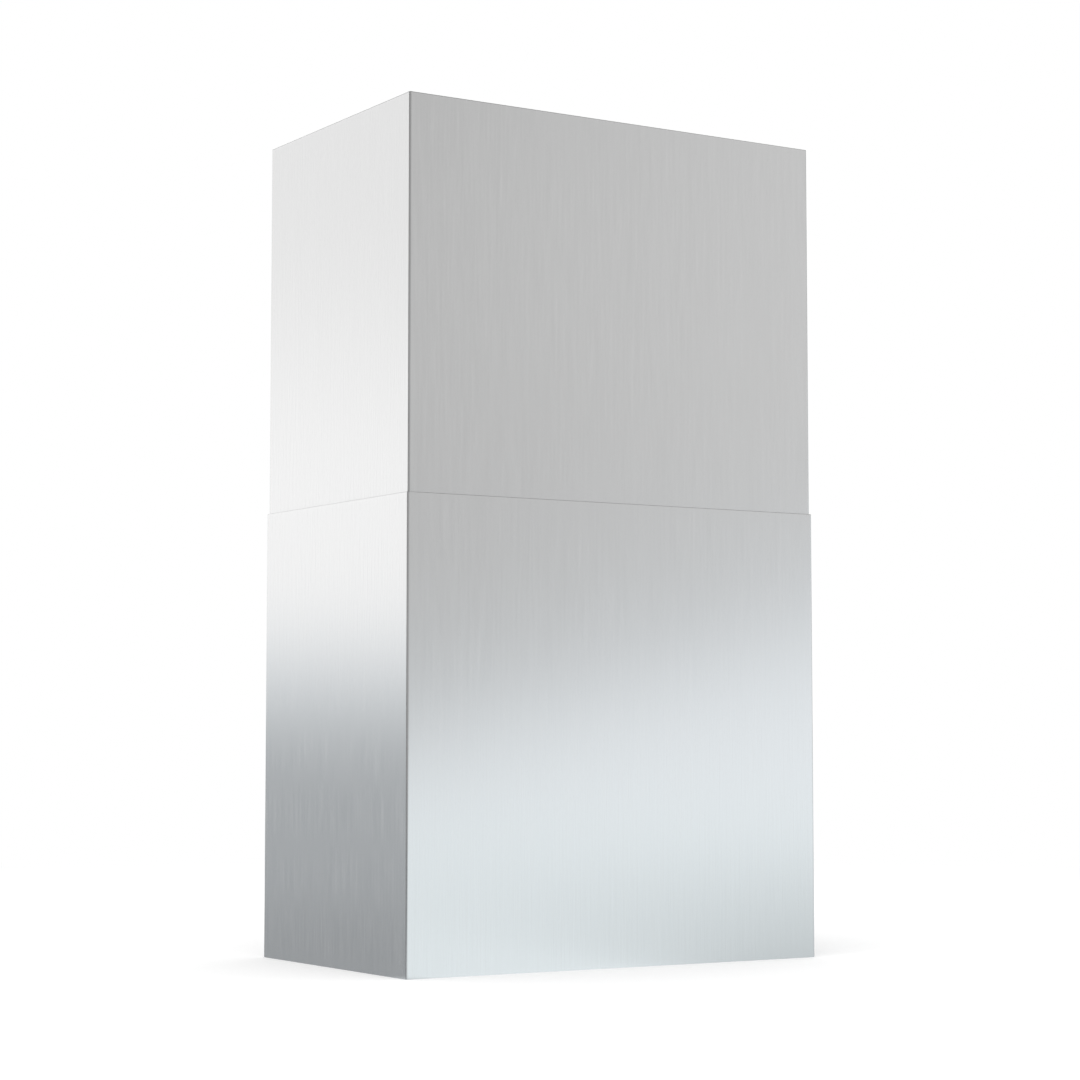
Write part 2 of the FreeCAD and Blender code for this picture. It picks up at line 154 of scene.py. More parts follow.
camera_data = bpy.data.cameras.new("camera")
camera_data.lens = CAMERA_LENS
camera_data.sensor_width = CAMERA_SENSOR
camera = bpy.data.objects.new("camera", camera_data)
camera.location = CAMERA_PLACE
camera.rotation_euler = (math.pi / 2 + CAMERA_PITCH, 0.0, -CAMERA_YAW)
bpy.context.scene.collection.objects.link(camera)
bpy.context.scene.camera = camera
print("camera lens", CAMERA_LENS, "mm")

# %% [markdown]
# ## Surfaces from arrays
#
# The real pieces are sheets and strips. They could be pushed into shape from Blender's cubes and planes,
# but a formula keeps their true sizes: every new piece is a grid of points, where one parameter runs
# along a profile and the other along the straight way that the profile is carried. The helper turns such
# an array into quads, may leave cells out where the sheet has a window, and stores named values at the
# points for the finishes.


# %% Grid helper
def mesh_object(name, points, faces):
    """Smooth shaded object from points and faces, at the origin."""
    mesh = bpy.data.meshes.new(name)
    mesh.from_pydata(points, [], faces)
    mesh.shade_smooth()
    thing = bpy.data.objects.new(name, mesh)
    bpy.context.scene.collection.objects.link(thing)
    print(name, len(mesh.vertices), "points", len(mesh.polygons), "faces")
    return thing


def grid_object(name, points, keep=None, **values):
    """Object from a (rows, columns, 3) array, with quads between neighbours; keep masks the cells."""
    rows, columns = points.shape[:2]
    index = np.arange(rows * columns).reshape(rows, columns)
    quads = np.stack([index[:-1, :-1], index[:-1, 1:], index[1:, 1:], index[1:, :-1]], axis=-1)
    quads = quads.reshape(-1, 4) if keep is None else quads[keep]
    used, corners = np.unique(quads, return_inverse=True)
    thing = mesh_object(name, points.reshape(-1, 3)[used], corners.reshape(-1, 4))
    for key, value in values.items():
        layer = thing.data.attributes.new(key, "FLOAT", "POINT")
        layer.data.foreach_set("value", np.ascontiguousarray(value.reshape(-1)[used], np.float32))
    return thing


# %% [markdown]
# A sheet has a gauge of about a millimetre, a ground outside, a dull inside and a cut edge. Both sides
# could be modelled, but one is enough: Solidify gives the outer face its gauge, with one finish inside
# and another on the cut edge. Bevel eases that edge as deburring does, and Weighted Normal lets the large
# flats keep their own direction, so that reflections stay straight right up to the edges.

# %% Gauge and eased edges
EASE_SEGMENTS = 3
EASE_ANGLE = math.radians(50)


def ease_edges(thing, width):
    """Round the sharp edges by a width and let the large faces set the shading."""
    bevel = thing.modifiers.new("eased_edges", "BEVEL")
    bevel.width = width
    bevel.segments = EASE_SEGMENTS
    bevel.limit_method = "ANGLE"
    bevel.angle_limit = EASE_ANGLE
    thing.modifiers.new("flat_faces", "WEIGHTED_NORMAL")


def thicken(thing, gauge, ease, outside, inside, edge):
    """Give an outer face its gauge inwards, with a finish for each side and for the cut edge."""
    for material in (outside, inside, edge):
        thing.data.materials.append(material)
    solid = thing.modifiers.new("gauge", "SOLIDIFY")
    solid.thickness = gauge
    solid.offset = -1.0
    solid.use_even_offset = True
    solid.material_offset = 1
    solid.material_offset_rim = 2
    ease_edges(thing, ease)


print("edges sharper than", round(math.degrees(EASE_ANGLE)), "degrees are eased")

# %% [markdown]
# ## A folded profile
#
# A press brake leaves flats joined by round bends. A curve with a bevelled corner could stand for that,
# but the finishes need to know how far along the sheet a point lies. The profile is therefore a list of
# flat lengths and one bend radius: the heading is constant on a flat and turns evenly on a bend, and
# adding up the exact travel of each run gives the position at any station.

# %% Profile of flats and bends
QUARTER = math.pi / 2


def profile_runs(flats, radius, heading):
    """Start, length, heading and curvature of each run: flats with a quarter bend to the left between."""
    runs = []
    station = 0.0
    for flat in flats:
        runs.append((station, flat, heading, 0.0))
        runs.append((station + flat, radius * QUARTER, heading, 1 / radius))
        station += flat + radius * QUARTER
        heading += QUARTER
    return runs[:-1]


def walk_profile(stations, start, runs):
    """Point and right hand normal at each station: every run adds its chord, straight or along its arc."""
    point = np.tile(np.asarray(start, float), (len(stations), 1))
    angle = np.full(len(stations), runs[0][2])
    for first, length, heading, curvature in runs:
        travel = np.clip(stations - first, 0.0, length)
        turned = travel * curvature
        if curvature:
            point[:, 0] += (np.sin(heading + turned) - math.sin(heading)) / curvature
            point[:, 1] -= (np.cos(heading + turned) - math.cos(heading)) / curvature
        else:
            point[:, 0] += travel * math.cos(heading)
            point[:, 1] += travel * math.sin(heading)
        angle += turned
    return point, np.stack([np.sin(angle), -np.cos(angle)], axis=-1)


print("a profile of two flats has", len(profile_runs([1.0, 1.0], 1.0, 0.0)), "runs")

# %% [markdown]
# The stations are the places along a profile where the grid has its points. Even steps would be simpler,
# but worn edges and eased corners need detail where the middle of a sheet is plain, so they lie close
# together at the ends of a flat and far apart between.

# %% Stations
EDGE_STEPS = np.array([0.0, 0.8, 1.6, 2.8, 5.0]) * MM
BEND_STEPS = 8
FLAT_STEP = 9 * MM
LEAST_STEPS = 2
STATION_GAP = 0.2 * MM
STATION_DIGITS = 6


def flat_stations(length, first=0.0):
    """Stations of a flat: even in the middle and drawn together towards both ends."""
    near = EDGE_STEPS[EDGE_STEPS < length / 2]
    middle = length - 2 * near[-1]
    steps = max(LEAST_STEPS, round(middle / FLAT_STEP))
    even = near[-1] + np.linspace(0.0, middle, steps + 1)
    return first + np.concatenate([near, even, length - near])


def profile_stations(runs):
    """Stations of all runs, even on the bends."""
    parts = []
    for first, length, _, curvature in runs:
        bend = first + np.linspace(0.0, length, BEND_STEPS + 1)
        parts.append(bend if curvature else flat_stations(length, first))
    return parts


def merge_stations(needed, extra):
    """The needed stations in order, with those extra ones that keep a clear distance from all of them."""
    needed = np.unique(np.round(np.concatenate(needed), STATION_DIGITS))
    extra = np.concatenate(extra)
    extra = extra[(extra > needed[0]) & (extra < needed[-1])]
    clear = np.abs(extra[:, None] - needed).min(axis=1) > STATION_GAP
    return np.sort(np.concatenate([needed, extra[clear]]))


print("a flat of 100 mm has", len(flat_stations(100 * MM)), "stations")

# %% [markdown]
# ## Spot welds, worn edges and folds
#
# The inner angles and straps are spot welded to the sheets. Each weld leaves a shallow round dent, and
# the metal round it keeps the colours of the heat: dark at the rim of the dent, then straw. The cut edges
# are rubbed a little brighter. The outside of a fold is rougher, because the bend stretches the ground
# surface, and its colour is darkened as painted shade, which draws a fine dark line along the fold. All of
# it could be painted on, but a dent that is real geometry bends the reflection as well. Heat, wear and
# the fold's stretch and painted shade are values stored at the points. A stored value can't be called
# plain `heat`, which the renderer keeps for smoke.

# %% Dents and heat
WELD_RADIUS = 2.2 * MM
WELD_DEPTH = 0.15 * MM
WELD_STEPS = np.arange(-6.5, 6.51, 0.5) * MM
HEAT_REACH = 4.2 * MM


def weld_distance(along, across, welds):
    """Distance of each point to the nearest weld centre."""
    gaps = [np.hypot(along - first, across - second) for first, second in welds]
    return np.min(gaps, axis=0)


def weld_push(distance):
    """Depth of the dent times exp(-(distance / radius) ** 4), into the sheet."""
    return -WELD_DEPTH * np.exp(-(distance / WELD_RADIUS) ** 4)


def heat_left(distance):
    """exp(-(distance / reach) ** 2): 1 in the middle of the weld, nearly 0 two reaches away."""
    return np.exp(-(distance / HEAT_REACH) ** 2)


print("heat at the rim of a dent", round(float(heat_left(WELD_RADIUS)), 2))

# %% [markdown]
# ## Brushed stainless steel
#
# The sheet is ground with a belt before it is folded, and the grain runs up and down on every face. A
# picture of such steel could be used, but noise needs no file and never repeats. Upright scratches
# scatter light sideways and leave the reflection sharp along their length, so the shader is anisotropic
# with the smooth way upright. The first helpers below are shared by all finishes.


# %% Finish helpers
BUMP_DEPTH = 0.05 * MM


def new_finish(name, **constants):
    """Material with a shader whose constant inputs are set; gives the material, its tree and the shader."""
    material = bpy.data.materials.new(name)
    material.use_nodes = True
    shader = material.node_tree.nodes["Principled BSDF"]
    for key, value in constants.items():
        shader.inputs[key.replace("_", " ")].default_value = value
    print("finish:", name)
    return material, Signal(material.node_tree), shader


def feed(shader, **signals):
    """Link signals to the shader's inputs, named with underscores for spaces."""
    for key, signal in signals.items():
        signal.tree.links.new(signal.socket, shader.inputs[key.replace("_", " ")])


def stretched_noise(start, scale, detail=2.0):
    """Noise on Object coordinates with its own scale along each axis, in cycles per metre, about zero."""
    place = start.node("ShaderNodeTexCoord", output="Object")
    spread = start.node("ShaderNodeVectorMath", {"operation": "MULTIPLY"}, {0: place, 1: scale})
    inputs = {"Vector": spread, "Scale": 1.0, "Detail": detail}
    return start.node("ShaderNodeTexNoise", inputs=inputs) - 0.5


def stored(start, name):
    """Value that the mesh keeps at its points; 0 where it has none."""
    return start.node("ShaderNodeAttribute", {"attribute_name": name}, output="Fac")


def bump(start, height, strength):
    """Normal that leans as the height pattern does."""
    inputs = {"Strength": strength, "Distance": BUMP_DEPTH, "Height": height}
    return start.node("ShaderNodeBump", inputs=inputs)


print("bump depth", BUMP_DEPTH / MM, "mm")

# %% [markdown]
# Steel and zinc both keep the colours of a weld. A ring could be drawn at each weld by hand, but the heat
# that is stored at the points already falls off in rings, so two bands of it are enough: straw where a
# little heat was left and a dark ring where more was. The middle, under the electrode, stays bare.

# %% Colours of the heat
STRAW = (0.52, 0.43, 0.29, 1.0)
STRAW_BAND = (0.08, 0.4)
STRAW_SHARE = 0.45
SCORCHED = (0.25, 0.22, 0.22, 1.0)
RING_OUTSIDE = (0.4, 0.6)
RING_INSIDE = (0.93, 0.74)
RING_SHARE = 0.7


def temper_colours(start, ground):
    """Straw where a weld left a little heat, a dark ring where it left more, bare metal in the middle."""
    heat = stored(start, "weld_heat")
    straw = heat.smooth(*STRAW_BAND) * STRAW_SHARE
    ring = heat.smooth(*RING_OUTSIDE) * heat.smooth(*RING_INSIDE) * RING_SHARE
    return ring.blend(straw.blend(ground, STRAW), SCORCHED)


print("straw", STRAW, "scorched", SCORCHED)

# %% [markdown]
# The grain itself is noise stretched along the height, in four widths from hairlines to broad bands. It
# moves the colour, the roughness and the bump only a little. One more set, the deep scratches, scatters
# light all ways: they show as pale lines where the steel reflects something dark. A metal shader can't
# scatter so widely, so there the surface is made a little less metal.

# %% Upright grain
# cycles per metre across and along the grain, and share
GRAIN = {"hairline": (3800.0, 26.0, 0.45), "scratch": (900.0, 14.0, 0.24),
         "streak": (320.0, 8.0, 0.15), "band": (55.0, 2.0, 0.09)}
GRAIN_BUMP = 0.05
DEEP_SCRATCH = (6000.0, 900.0, 20.0)
DEEP_BAND = (-0.1, 0.25)
DEEP_SCATTER = 0.2
DEEP_LIGHT = 0.3
ANISOTROPY = 0.7

STEEL_LEVEL = 0.665
STEEL_DARK = grey(STEEL_LEVEL * 0.925)
STEEL_LIGHT = grey(STEEL_LEVEL * 1.075)
# Painted shade: the colour along each fold, darker than the flats, draws a fine dark line there.
STEEL_FOLD_SHADE = grey(STEEL_LEVEL * 0.7)
STEEL_MIDDLE = 0.41
WORN_LIGHT = 0.1

SATIN = 0.2
SATIN_GRAIN = 0.08
SATIN_WORN = 0.03
SATIN_FOLDED = 0.04


def upright_grain(start):
    """Sum over the widths: noise stretched along the height, times the share of that width."""
    return sum(stretched_noise(start, (across, across, along)) * share
               for across, along, share in GRAIN.values())


def brushed_steel():
    """Satin steel: four widths of grain, deep scratches, bright worn edges, rougher folds with painted shade
    and weld heat.
    """
    material, start, shader = new_finish("brushed_steel", Anisotropic=ANISOTROPY)
    grain = upright_grain(start)
    deep = stretched_noise(start, DEEP_SCRATCH).smooth(*DEEP_BAND)
    wear = stored(start, "wear")
    stretch = stored(start, "stretch")
    lightness = grain + STEEL_MIDDLE + deep * DEEP_LIGHT + wear * WORN_LIGHT
    # Along each fold the colour turns darker: painted shade.
    folded = stretch.blend(lightness.blend(STEEL_DARK, STEEL_LIGHT), STEEL_FOLD_SHADE)
    roughness = SATIN + grain * SATIN_GRAIN - wear * SATIN_WORN + stretch * SATIN_FOLDED
    feed(shader, Base_Color=temper_colours(start, folded), Roughness=roughness,
         Metallic=1 - deep * DEEP_SCATTER, Normal=bump(start, grain, GRAIN_BUMP))
    return material


BRUSHED = brushed_steel()

# %% [markdown]
# The inside of the sheet keeps the dull cold rolled surface of the coil, with faint clouds and roll
# marks. It could share the outer finish, but the eye knows the back of a sheet by its dullness. So it
# gets one noise for the clouds and another, stretched, for the marks.

# %% Inside of the sheet
CLOUD = (14.0, 14.0, 9.0)
CLOUD_DETAIL = 4.0
CLOUD_SHARE = 0.6
ROLL_MARK = (1400.0, 1400.0, 40.0)
ROLL_SHARE = 0.4
ROLL_BUMP = 0.08
MILL_TINT = (0.99, 1.0, 1.01)
MILL_DARK = grey(0.5, MILL_TINT)
MILL_LIGHT = grey(0.62, MILL_TINT)
MILL_ROUGHNESS = 0.36
MILL_SPREAD = 0.14


def mill_finish():
    """Dull rolled steel with soft clouds and fine roll marks."""
    material, start, shader = new_finish("mill_finish", Metallic=1.0)
    roll = stretched_noise(start, ROLL_MARK)
    mixed = stretched_noise(start, CLOUD, CLOUD_DETAIL) * CLOUD_SHARE + roll * ROLL_SHARE
    tone = (mixed + 0.5).blend(MILL_DARK, MILL_LIGHT)
    roughness = MILL_ROUGHNESS + mixed * MILL_SPREAD
    feed(shader, Base_Color=tone, Roughness=roughness, Normal=bump(start, roll, ROLL_BUMP))
    return material


INSIDE = mill_finish()

# %% [markdown]
# Shears leave the edge of the sheet as a bright line with fine marks. At 0.8 mm it could stay plain, but
# a near view shows it, and one fine noise is cheap.

# %% Cut edge
SHEAR_MARK = (2200.0, 2200.0, 2200.0)
SHEAR_DETAIL = 3.0
SHEAR_DARK = grey(0.5)
SHEAR_LIGHT = grey(0.66)
SHEAR_ROUGHNESS = 0.34
SHEAR_SPREAD = 0.15
SHEAR_BUMP = 0.15


def sheared_edge():
    """Cut metal with fine marks in every direction."""
    material, start, shader = new_finish("sheared_edge", Metallic=1.0)
    marks = stretched_noise(start, SHEAR_MARK, SHEAR_DETAIL)
    tone = (marks + 0.5).blend(SHEAR_DARK, SHEAR_LIGHT)
    roughness = SHEAR_ROUGHNESS + marks * SHEAR_SPREAD
    feed(shader, Base_Color=tone, Roughness=roughness, Normal=bump(start, marks, SHEAR_BUMP))
    return material


CUT_EDGE = sheared_edge()

# %% [markdown]
# ## The two sleeves
#
# The hooks of the wall bracket pass through a window in each return flange of the upper sleeve. A Boolean
# could cut the windows, but it leaves long thin triangles that spoil the shading. So stations are set on
# the sides of a window, and the cells between them are left out of the grid.

# %% Windows
WINDOW_HALF = 4.5 * MM


def window_mask(along, levels, windows):
    """Cells to keep: those whose centre lies in no window, given by its limits along and across."""
    middle = (along[:-1] + along[1:]) / 2
    height = ((levels[:-1] + levels[1:]) / 2)[:, None]
    keep = np.ones((len(levels) - 1, len(along) - 1), bool)
    for first, last, bottom, top in windows:
        keep &= ~((middle > first) & (middle < last) & (height > bottom) & (height < top))
    return keep


print("a window is", 2 * WINDOW_HALF / MM, "mm wide")

# %% [markdown]
# Both sleeves are the same folded C: a return flange, a side, the front, the other side and the other
# return. They could be two separate models, but one function serves both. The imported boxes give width,
# depth and height; the flange, its cut corners and the bend come from the same drawing.

# %% Sleeve surface
BEND = 1.6 * MM
RETURN = 20 * MM
RETURN_CUT = 5 * MM
WEAR_REACH = 1.6 * MM
STRETCH_REACH = 0.95 * MM


def sleeve(name, node, weld_level, window_levels=()):
    """Folded C carried upwards: the profile gives x and y, the second parameter runs from foot to top.

    Near the free edges of the return flanges the foot is lifted and the top dropped by the corner cut less
    the distance from the edge. The welds push the sheet in along its normal. Wear is exp(-distance / reach)
    from the cut edges, and the fold value, which makes a fold rougher and paints shade along it, is
    exp(-(distance / reach) ** 4) from the middle of a bend.
    """
    low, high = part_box(node)
    width, depth, height = high - low
    flats = [RETURN - BEND, depth - 2 * BEND, width - 2 * BEND, depth - 2 * BEND, RETURN - BEND]
    runs = profile_runs(flats, BEND, math.pi)
    total = runs[-1][0] + runs[-1][1]
    middles = np.array([RETURN / 2, total - RETURN / 2])
    window_sides = np.add.outer(middles, [-WINDOW_HALF, WINDOW_HALF]) if window_levels else np.empty((0, 2))
    near_welds = np.add.outer(middles, WELD_STEPS)
    along = merge_stations([*profile_stations(runs), window_sides.ravel()], near_welds)
    levels = merge_stations([flat_stations(height), np.array(window_levels)], [weld_level + WELD_STEPS])
    point, outward = walk_profile(along, (low.x + RETURN, high.y), runs)
    edge = np.minimum(along, total - along)
    cut = np.clip(RETURN_CUT - edge, 0.0, None)
    z = cut + levels[:, None] / height * (height - 2 * cut)
    weld = weld_distance(along, z, [(middle, weld_level) for middle in middles])
    sheet = point + weld_push(weld)[..., None] * outward
    points = np.concatenate([sheet, (low.z + z)[..., None]], axis=-1)
    keep = window_mask(along, levels, [(*sides, *window_levels) for sides in window_sides])
    bends = np.array([run[0] + run[1] / 2 for run in runs if run[3]])
    to_bend = np.abs(along[:, None] - bends).min(axis=1)
    to_end = np.minimum(levels, height - levels)[:, None]
    wear = np.exp(-np.minimum(to_end, edge) / WEAR_REACH)
    # Stretch by the bends; the same value sets the painted shade along each fold.
    stretch = np.broadcast_to(np.exp(-(to_bend / STRETCH_REACH) ** 4), wear.shape)
    return grid_object(name, points, keep, wear=wear, stretch=stretch, weld_heat=heat_left(weld))


print("return flange", RETURN / MM, "mm, bend", BEND / MM, "mm")

# %% [markdown]
# The lower sleeve is welded to the rear angle near its foot, the upper one to the tie strap. The levels
# of these welds could be typed in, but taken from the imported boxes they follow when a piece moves. Each
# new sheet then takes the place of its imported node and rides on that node's body.

# %% Build the sleeves
SHEET = 0.8 * MM
EDGE_EASE = 0.36 * MM
FOOT_WELD = 7 * MM
WINDOW_DROP = 21 * MM
WINDOW_HEIGHT = 13 * MM

strap_low, strap_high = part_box("upper_tie_strap")
upper_low, upper_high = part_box("upper_sleeve")
strap_weld = (strap_low.z + strap_high.z) / 2 - upper_low.z
window_top = upper_high.z - upper_low.z - WINDOW_DROP
window_levels = (window_top - WINDOW_HEIGHT, window_top)

lower_sheet = sleeve("lower_sleeve_sheet", "lower_sleeve", FOOT_WELD)
upper_sheet = sleeve("upper_sleeve_sheet", "upper_sleeve", strap_weld, window_levels)
for sheet, node, body in ((lower_sheet, "lower_sleeve", "lower"), (upper_sheet, "upper_sleeve", "upper")):
    thicken(sheet, SHEET, EDGE_EASE, BRUSHED, INSIDE, CUT_EDGE)
    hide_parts(node)
    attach(sheet, body)

# %% [markdown]
# ## Galvanised pieces
#
# What is out of sight is cheaper zinc coated steel. The zinc freezes into crystals a few millimetres
# across, each with its own grey. Plain noise would look like clouds; a Voronoi pattern gives one random
# value for each cell, and a little noise added to the place feathers the straight borders of the cells.
# The coat has a thin matt crust, so the shader is only partly metal.

# %% Zinc with spangle
FEATHER = 2.2 * MM
FEATHER_SCALE = 700.0
CRYSTAL_SCALE = 260.0
CRYSTAL_SHARE = 0.55
HAZE = (60.0, 60.0, 60.0)
HAZE_DETAIL = 4.0
HAZE_SHARE = 0.5
SPECK = (1500.0, 1500.0, 1500.0)
SPECK_SHARE = 0.3
ZINC_METAL = 0.6
ZINC_DARK = grey(0.4, (0.97, 1.0, 1.02))
ZINC_LIGHT = grey(0.62, (0.98, 1.0, 1.01))
ZINC_ROUGHNESS = 0.4
CRYSTAL_SPREAD = 0.1
HAZE_SPREAD = 0.12
ZINC_BUMP = 0.12


def spangle(start):
    """One random value about zero for each crystal, with feathered borders."""
    place = start.node("ShaderNodeTexCoord", output="Object")
    noise = {"Vector": place, "Scale": FEATHER_SCALE}
    feather = start.node("ShaderNodeTexNoise", inputs=noise, output="Color")
    moved = start.node("ShaderNodeVectorMath", {"operation": "MULTIPLY"}, {0: feather, 1: (FEATHER,) * 3})
    place = start.node("ShaderNodeVectorMath", {"operation": "ADD"}, {0: place, 1: moved})
    cells = {"Vector": place, "Scale": CRYSTAL_SCALE}
    values = start.node("ShaderNodeTexVoronoi", inputs=cells, output="Color")
    return start.node("ShaderNodeSeparateColor", inputs={0: values}) - 0.5


def galvanised_zinc():
    """Zinc crystals of different grey with a soft haze, fine specks and dark rings by the welds."""
    material, start, shader = new_finish("galvanised_zinc", Metallic=ZINC_METAL)
    crystal = spangle(start)
    haze = stretched_noise(start, HAZE, HAZE_DETAIL)
    mixed = crystal * CRYSTAL_SHARE + haze * HAZE_SHARE + stretched_noise(start, SPECK) * SPECK_SHARE
    tone = temper_colours(start, (mixed + 0.5).blend(ZINC_DARK, ZINC_LIGHT))
    roughness = ZINC_ROUGHNESS + crystal * CRYSTAL_SPREAD + haze * HAZE_SPREAD
    feed(shader, Base_Color=tone, Roughness=roughness, Normal=bump(start, mixed, ZINC_BUMP))
    return material


ZINC = galvanised_zinc()

# %% [markdown]
# The tie strap is a flat strip that joins the return flanges of the upper sleeve. It could be copied from
# its solid, as the brackets further on are, but its two welds need a grid with points close together
# round them.


# %% Tie strap
def flange_middles(node):
    """Places along X of the middles of a sleeve's return flanges."""
    low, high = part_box(node)
    return low.x + RETURN / 2, high.x - RETURN / 2


def tie_strap():
    """Flat strip seen from the wall: the first parameter runs along, from right to left, the second up."""
    low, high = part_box("upper_tie_strap")
    length, _, height = high - low
    welds = [(high.x - middle, height / 2) for middle in flange_middles("upper_sleeve")]
    along = merge_stations([flat_stations(length)], [place + WELD_STEPS for place, _ in welds])
    levels = merge_stations([flat_stations(height)], [height / 2 + WELD_STEPS])
    weld = weld_distance(along, levels[:, None], welds)
    strip = np.broadcast_arrays(high.x - along, high.y + weld_push(weld), low.z + levels[:, None])
    return grid_object("tie_strap", np.stack(strip, axis=-1), weld_heat=heat_left(weld))


print("flange middles at", flange_middles("upper_sleeve"))

# %% [markdown]
# The rear angle joins the flanges of the lower sleeve at the foot. Two strips at right angles would stand
# for it, but the bend between its legs catches the light. It is an L, so the profile walk of the sleeves
# serves it too, laid on other axes: two flats with a bend, carried along X.

# %% Rear angle
ANGLE_BEND = 2.2 * MM


def rear_angle():
    """L carried along X: level leg from the room to the wall, a bend, then the upright leg with its welds."""
    low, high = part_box("lower_rear_angle")
    length, shelf, leg = high - low
    runs = profile_runs([shelf - ANGLE_BEND, leg - ANGLE_BEND], ANGLE_BEND, 0.0)
    total = runs[-1][0] + runs[-1][1]
    weld_station = total - (leg - FOOT_WELD)
    welds = [(weld_station, middle - low.x) for middle in flange_middles("lower_sleeve")]
    profile = merge_stations(profile_stations(runs), [weld_station + WELD_STEPS])
    across = merge_stations([flat_stations(length)], [place + WELD_STEPS for _, place in welds])
    point, outward = walk_profile(profile, (low.y, low.z), runs)
    weld = weld_distance(profile, across[:, None], welds)
    section = point + weld_push(weld)[..., None] * outward
    x = np.broadcast_to(low.x + across[:, None], weld.shape)
    points = np.concatenate([x[..., None], section], axis=-1)
    return grid_object("rear_angle", points, weld_heat=heat_left(weld))


print("the angle's bend is", ANGLE_BEND / MM, "mm")

# %% [markdown]
# Both pieces get their gauge as the sleeves did, with zinc on both sides: the coil is coated before it is
# cut, so that only the cut edge is bare. They could be dressed one by one, but a loop says it once.

# %% Build the strap and the angle
STRAP_SHEET = 1.0 * MM
ANGLE_SHEET = 1.2 * MM
ANGLE_EASE = 0.3 * MM

for piece, gauge, node, body in ((tie_strap(), STRAP_SHEET, "upper_tie_strap", "upper"),
                                 (rear_angle(), ANGLE_SHEET, "lower_rear_angle", "lower")):
    thicken(piece, gauge, ANGLE_EASE, ZINC, ZINC, CUT_EDGE)
    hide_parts(node)
    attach(piece, body)

# %% [markdown]
# ## Foot angles and wall bracket
#
# The foot angles take the screws from the hood, and the bracket holds the cover to the wall. They have
# round holes, slots, lanced hooks and a notch, which a plain grid of quads can't follow. Their packed
# solids already have the right form, so each is copied, its loose triangles are joined, flat triangles
# are dissolved into whole faces, and the sharp edges are eased with a Bevel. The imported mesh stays
# untouched.

# %% Eased copies
JOIN_DISTANCE = 0.001 * MM
FLAT_ANGLE = math.radians(0.5)
BRACKET_EASE = 0.18 * MM


def eased_copy(name, node, ease):
    """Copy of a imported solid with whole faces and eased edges."""
    work = bmesh.new()
    work.from_mesh(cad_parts[node].data)
    bmesh.ops.remove_doubles(work, verts=work.verts, dist=JOIN_DISTANCE)
    bmesh.ops.dissolve_limit(work, angle_limit=FLAT_ANGLE, verts=work.verts, edges=work.edges)
    work.verts.index_update()
    points = [vertex.co[:] for vertex in work.verts]
    faces = [[vertex.index for vertex in face.verts] for face in work.faces]
    work.free()
    thing = mesh_object(name, points, faces)
    ease_edges(thing, ease)
    return thing


for name, node, body in (("left_foot", "left_foot_angle", "lower"),
                         ("right_foot", "right_foot_angle", "lower"),
                         ("hook_bracket", "wall_bracket", "upper")):
    piece = eased_copy(name, node, BRACKET_EASE)
    piece.data.materials.append(ZINC)
    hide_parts(node)
    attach(piece, body)

# %% [markdown]
# ## Felt glides
#
# Thin felt strips inside the top of the lower sleeve guide the upper one. Felt is matted wool: it has no
# gloss, only a soft sheen, and fibres that lie every way. Hair particles would be the costly way to show
# that; two noises in the colour and the bump are enough for a strip that is 0.3 mm thick.

# %% Pressed felt
FIBRE = (2600.0, 2600.0, 900.0)
FIBRE_DETAIL = 5.0
FIBRE_SHARE = 0.6
TUFT = (420.0, 420.0, 420.0)
TUFT_DETAIL = 3.0
TUFT_SHARE = 0.5
FELT_DARK = grey(0.05)
FELT_LIGHT = grey(0.16, (1.0, 1.0, 1.03))
FELT_ROUGHNESS = 0.9
FELT_SPREAD = 0.12
FELT_BUMP = 0.5
FELT_SHEEN = 0.3
SHEEN_SPREAD = 0.6


def pressed_felt():
    """Dark pressed felt with matted fibres."""
    sheen = {"Sheen_Weight": FELT_SHEEN, "Sheen_Roughness": SHEEN_SPREAD}
    material, start, shader = new_finish("pressed_felt", **sheen)
    fibre = stretched_noise(start, FIBRE, FIBRE_DETAIL)
    mixed = fibre * FIBRE_SHARE + stretched_noise(start, TUFT, TUFT_DETAIL) * TUFT_SHARE
    tone = (mixed + 0.5).blend(FELT_DARK, FELT_LIGHT)
    roughness = FELT_ROUGHNESS + mixed * FELT_SPREAD
    feed(shader, Base_Color=tone, Roughness=roughness, Normal=bump(start, mixed, FELT_BUMP))
    return material


FELT = pressed_felt()

# %% [markdown]
# A strip could be a thin box, but cut felt has soft sides. It is a low pillow: its face rises from the
# wall in a quarter round along all four sides. The round is steepest at its foot, so the stations lie
# closest there.

# %% Rim of a strip
FELT_ROUND = 0.3 * MM
FELT_STEPS = np.array([0.0, 0.03, 0.08, 0.16, 0.3]) * MM
FELT_CELL = 2 * MM
FELT_DIGITS = 7


def felt_stations(length):
    """Stations across a strip: close at the rounded rim, even between."""
    inner = np.linspace(FELT_STEPS[-1], length - FELT_STEPS[-1], round(length / FELT_CELL))
    return np.unique(np.round(np.concatenate([FELT_STEPS, inner, length - FELT_STEPS]), FELT_DIGITS))


def quarter_round(stations):
    """Rise from 0 at both ends to 1 along a quarter circle of the rim's radius."""
    inside = np.clip(np.minimum(stations, stations[-1] - stations) / FELT_ROUND, 0.0, 1.0)
    return np.sqrt(1 - (1 - inside) ** 2)


print("a strip of 40 mm has", len(felt_stations(40 * MM)), "stations")

# %% [markdown]
# The face of the pillow also carries a little nap, and its back lies flat on the sheet. Face and back
# could be two meshes joined with Bridge Edge Loops. Here they are one array, and merging the border that
# they share closes the strip.

# %% Pillow of felt
FELT_NAP = 0.03 * MM
NAP_WAVES = 2 * math.pi / (1.7 * MM)


def close_border(mesh):
    """Join the points that lie on each other, where a grid meets itself."""
    work = bmesh.new()
    work.from_mesh(mesh)
    bmesh.ops.remove_doubles(work, verts=work.verts, dist=JOIN_DISTANCE)
    work.to_mesh(mesh)
    work.free()


